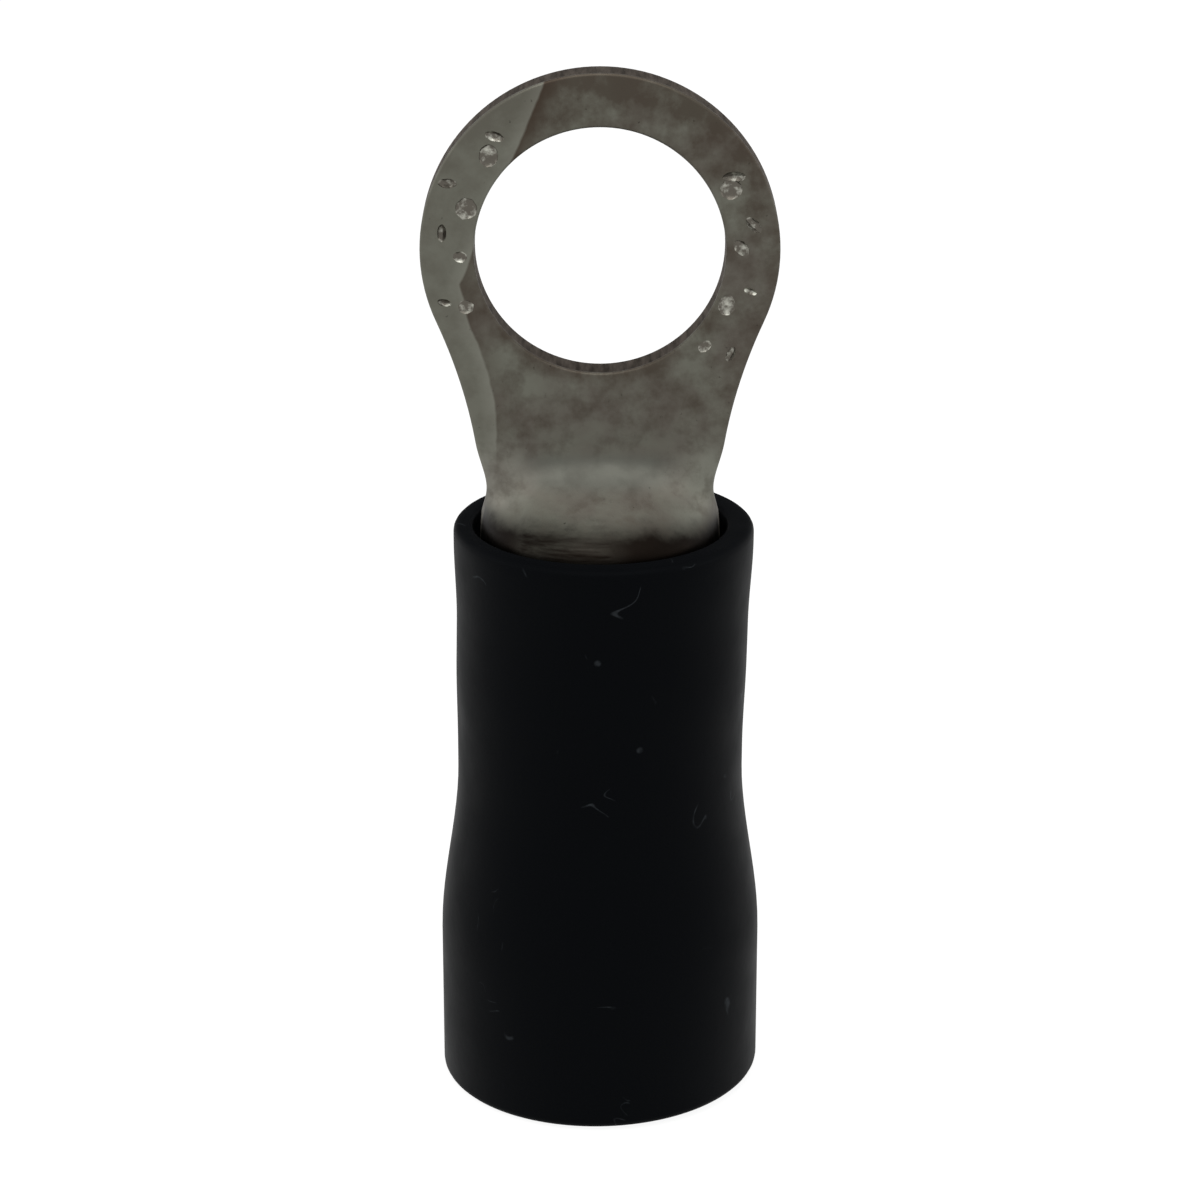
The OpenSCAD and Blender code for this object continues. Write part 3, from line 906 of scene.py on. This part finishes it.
def black_vinyl(sizes):
    """Moulded black PVC: a deep black satin skin with faint pale scuffs and specks of dust."""
    material, tree = new_material("moulded_black_vinyl")
    place = add(tree, "TexCoord").outputs["Object"]

    # The sheen varies in clouds 1.2 mm across. The moulded grain is finer than 0.15 mm, and is
    # drawn as coarse as it needs to be to show.
    cloud = add(tree, "TexNoise", place, per_size(1.2), 4)
    grain = add(tree, "TexNoise", place, per_size(0.15), 3)

    # Thin curved scuffs: level lines of a noise, kept in a few small patches.
    swirl = add(tree, "TexNoise", place, per_size(2.2), 1, inputs={"Distortion": 1.5})
    from_line = add(tree, "Math", add(tree, "Math", swirl, 0.5, operation="SUBTRACT"),
                    operation="ABSOLUTE")
    hair = add(tree, "MapRange", from_line, 0.007, 0.0025)
    patch = add(tree, "TexNoise", place, per_size(0.9), 1)
    scuffs = add(tree, "Math", hair, add(tree, "MapRange", patch, 0.65, 0.7),
                 operation="MULTIPLY")

    # Specks of dust: some of the cells of a fine pattern.
    cells = add(tree, "TexVoronoi", place, inputs={"Scale": per_size(0.9)}).outputs
    speck = add(tree, "MapRange", cells["Distance"], 0.1, 0.05)
    chosen = add(tree, "SeparateColor", cells["Color"]).outputs["Red"]
    dust = add(tree, "Math", speck, add(tree, "MapRange", chosen, 0.9, 0.91),
               operation="MULTIPLY")

    marks = add(tree, "Math", add(tree, "Math", scuffs, dust, operation="MAXIMUM"),
                add(tree, "MapRange", grain, 0.35, 0.65, 0.3, 1), operation="MULTIPLY")
    tone = add(tree, "Mix", marks, sizes.vinyl, sizes.scuff, **COLOURS)
    height = add(tree, "SeparateXYZ", place).outputs["Z"]
    rough = add(tree, "Math", add(tree, "MapRange", cloud, 0.3, 0.7, 0.42, 0.52),
                add(tree, "MapRange", height, SLEEVE_HIGH.z - sizes.edge / 2, SLEEVE_HIGH.z,
                    0, 0.4),
                operation="ADD")
    bump = add(tree, "Bump", inputs={"Height": grain, "Strength": 0.12, "Distance": 0.02 * MM})
    shader = add(tree, "BsdfPrincipled", inputs={
        "Base Color": tone, "Roughness": rough, "IOR": 1.54, "Specular IOR Level": 0.02,
        "Specular Tint": (0.86, 0.94, 1, 1), "Normal": bump})
    add(tree, "OutputMaterial", shader)
    return material


def seen_rays(tree):
    """1 for the rays that show a surface or the surroundings, and 0 for those that light."""
    rays = add(tree, "LightPath").outputs
    return add(tree, "Math", rays["Is Camera Ray"], rays["Is Glossy Ray"],
               rays["Is Transmission Ray"], operation="MAXIMUM")


def pale_floor(look):
    """White studio sweep. A fifth of what is seen of it is matt, which keeps a soft shadow, and
    the rest is an even white of its own, strong enough to make up for the matt part."""
    material, tree = new_material("white_sweep")
    own_share, own_strength = 0.8, 1.15
    matt = add(tree, "BsdfDiffuse", look.floor)
    white = add(tree, "Emission", (1, 1, 1, 1), own_strength)
    share = add(tree, "Math", seen_rays(tree), own_share, operation="MULTIPLY")
    add(tree, "OutputMaterial", add(tree, "MixShader", share, matt, white))
    return material


# --- Stage -------------------------------------------------------------------------------


class TERMINAL_OT_stage(bpy.types.Operator):
    """Sets up the floor, the soft lamps, the pale surroundings and the camera"""

    bl_idname = "terminal.stage"
    bl_label = "Stage"

    FLOOR_SIZE = 0.8
    LAMPS = (
        ("overhead_softbox", (0, -0.06, 0.21), 0.2, 2.0),
        ("left_softbox", (-0.2, -0.02, 0.08), 0.1, 1.5),
        ("right_softbox", (0.2, -0.02, 0.08), 0.1, 1.5),
    )
    LAMP_AIM = (0, 0, 0.012)
    CAMERA_PLACE = (0, -0.073853, 0.038382)
    CAMERA_TILT = 69.771
    CAMERA_REACH = (0.002, 10)
    SKY_LIGHT = 0.45

    def execute(self, context):
        look = context.scene.stage_look
        deselect()
        bpy.ops.mesh.primitive_plane_add(size=self.FLOOR_SIZE, location=(0, 0, 0))
        floor = context.object
        floor.name = "floor"
        floor.data.materials.append(pale_floor(look))
        self.surroundings(context)
        for name, place, size, radiance in self.LAMPS:
            self.lamp(name, place, size, radiance)
        camera_data = bpy.data.cameras.new("camera")
        camera_data.lens = look.lens
        camera_data.clip_start, camera_data.clip_end = self.CAMERA_REACH
        camera = bpy.data.objects.new("camera", camera_data)
        camera.location = self.CAMERA_PLACE
        camera.rotation_euler = (math.radians(self.CAMERA_TILT), 0, 0)
        context.scene.collection.objects.link(camera)
        context.scene.camera = camera
        context.scene.view_settings.view_transform = "Standard"
        return {"FINISHED"}

    def lamp(self, name, place, size, radiance):
        """A square soft lamp that faces the object, given by how bright its face is."""
        data = bpy.data.lights.new(name, "AREA")
        data.size = size
        data.energy = radiance * math.pi * size * size
        obj = bpy.data.objects.new(name, data)
        obj.location = place
        aim = Vector(self.LAMP_AIM) - Vector(place)
        obj.rotation_euler = aim.to_track_quat("-Z", "Y").to_euler()
        bpy.context.scene.collection.objects.link(obj)

    def surroundings(self, context):
        """An even pale room: white where it is seen, and dimmer as light on the object."""
        world = bpy.data.worlds.new("surroundings")
        context.scene.world = world
        world.use_nodes = True
        tree = world.node_tree
        tree.nodes.clear()
        strength = add(tree, "MapRange", seen_rays(tree), 0, 1, self.SKY_LIGHT, 1)
        shine = add(tree, "Background", (1, 1, 1, 1), strength)
        add(tree, "OutputWorld", shine)


# --- Panel and start ---------------------------------------------------------------------


class TERMINAL_PT_sidebar(bpy.types.Panel):
    """Sizes, colours and pieces of the ring terminal"""

    bl_idname = "TERMINAL_PT_sidebar"
    bl_label = "Ring Terminal"
    bl_space_type = "VIEW_3D"
    bl_region_type = "UI"
    bl_category = "Ring Terminal"

    def draw(self, context):
        for group, operator in (
            (context.scene.terminal_sizes, TERMINAL_OT_ring_terminal),
            (context.scene.sleeve_sizes, TERMINAL_OT_vinyl_sleeve),
            (context.scene.stage_look, TERMINAL_OT_stage),
        ):
            box = self.layout.box()
            for name in group.__annotations__:
                box.prop(group, name)
            box.operator(operator.bl_idname)


CLASSES = (
    TerminalSizes,
    SleeveSizes,
    StageLook,
    TERMINAL_OT_ring_terminal,
    TERMINAL_OT_vinyl_sleeve,
    TERMINAL_OT_stage,
    TERMINAL_PT_sidebar,
)


def register():
    for cls in CLASSES:
        bpy.utils.register_class(cls)
    bpy.types.Scene.terminal_sizes = bpy.props.PointerProperty(type=TerminalSizes)
    bpy.types.Scene.sleeve_sizes = bpy.props.PointerProperty(type=SleeveSizes)
    bpy.types.Scene.stage_look = bpy.props.PointerProperty(type=StageLook)


def unregister():
    del bpy.types.Scene.stage_look
    del bpy.types.Scene.sleeve_sizes
    del bpy.types.Scene.terminal_sizes
    for cls in reversed(CLASSES):
        bpy.utils.unregister_class(cls)


def main():
    register()
    bpy.ops.terminal.ring_terminal()
    bpy.ops.terminal.vinyl_sleeve()
    bpy.ops.terminal.stage()


if __name__ == "__main__":
    main()
